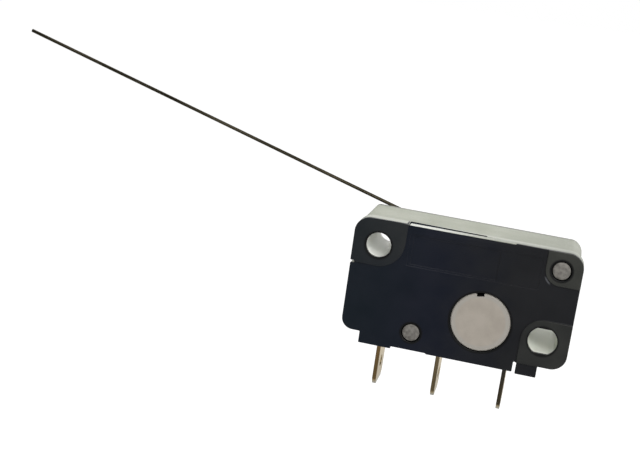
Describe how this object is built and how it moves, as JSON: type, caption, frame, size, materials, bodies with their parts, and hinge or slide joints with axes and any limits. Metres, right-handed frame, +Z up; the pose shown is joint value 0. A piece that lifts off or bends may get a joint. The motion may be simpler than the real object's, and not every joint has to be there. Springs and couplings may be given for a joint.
{
  "type": "coin door switch",
  "caption": "Small rotary snap switch: flat black and cream case, blade terminals below, and a long thin wire lever that a passing coin presses down.",
  "frame": {"origin": "axis of the upper mounting hole, at the raised front face of the cover", "axes": "+Z up with the terminals below, +Y into the case from the black cover, +X along the case's width, away from the lever's tip"},
  "size_m": [0.0776, 0.0122, 0.0369],
  "materials": {
    "cream_plastic": "moulded thermoset, satin",
    "black_plastic": "moulded thermoset, half gloss",
    "beige_plastic": "moulded bearing plastic, satin",
    "rivet_metal": "cut ends, dull",
    "lever_steel": "drawn spring wire, dull",
    "terminal_brass": "stamped strip",
    "blade_copper": "rolled copper alloy",
    "contact_gold": "gold alloy ridge",
    "spring_steel": "coiled spring wire"
  },
  "bodies": {
    "case": {"base": "cream_plastic", "cover": "black_plastic", "upper_rivet": "rivet_metal", "lower_rivet": "rivet_metal", "common_terminal": "terminal_brass", "open_terminal": "terminal_brass", "closed_terminal": "terminal_brass", "closed_contact": "contact_gold", "open_contact": "contact_gold"},
    "actuator": {"rotor": "beige_plastic", "wire_lever": "lever_steel"},
    "contact_arm": {"contact_blade": "blade_copper", "upper_moving_contact": "contact_gold", "lower_moving_contact": "contact_gold", "snap_spring": "spring_steel"}
  },
  "joints": [
    {"name": "rotor_turn", "type": "hinge", "parent": "case", "child": "actuator", "pos_m": [0.0137, 0.00515, -0.0072], "axis": [0, -1, 0], "range_deg": [0, 14], "stiffness_Nm_per_rad": 0.0004, "springref_deg": -34.38},
    {"name": "blade_flip", "type": "hinge", "parent": "case", "child": "contact_arm", "pos_m": [0.00483, 0.00515, -0.00276], "axis": [0, 1, 0], "range_deg": [0, 2.1], "deforming": ["snap_spring"]}
  ],
  "couplings": [
    {"joint": "blade_flip", "follows": "rotor_turn", "ratio": 0.15}
  ]
}
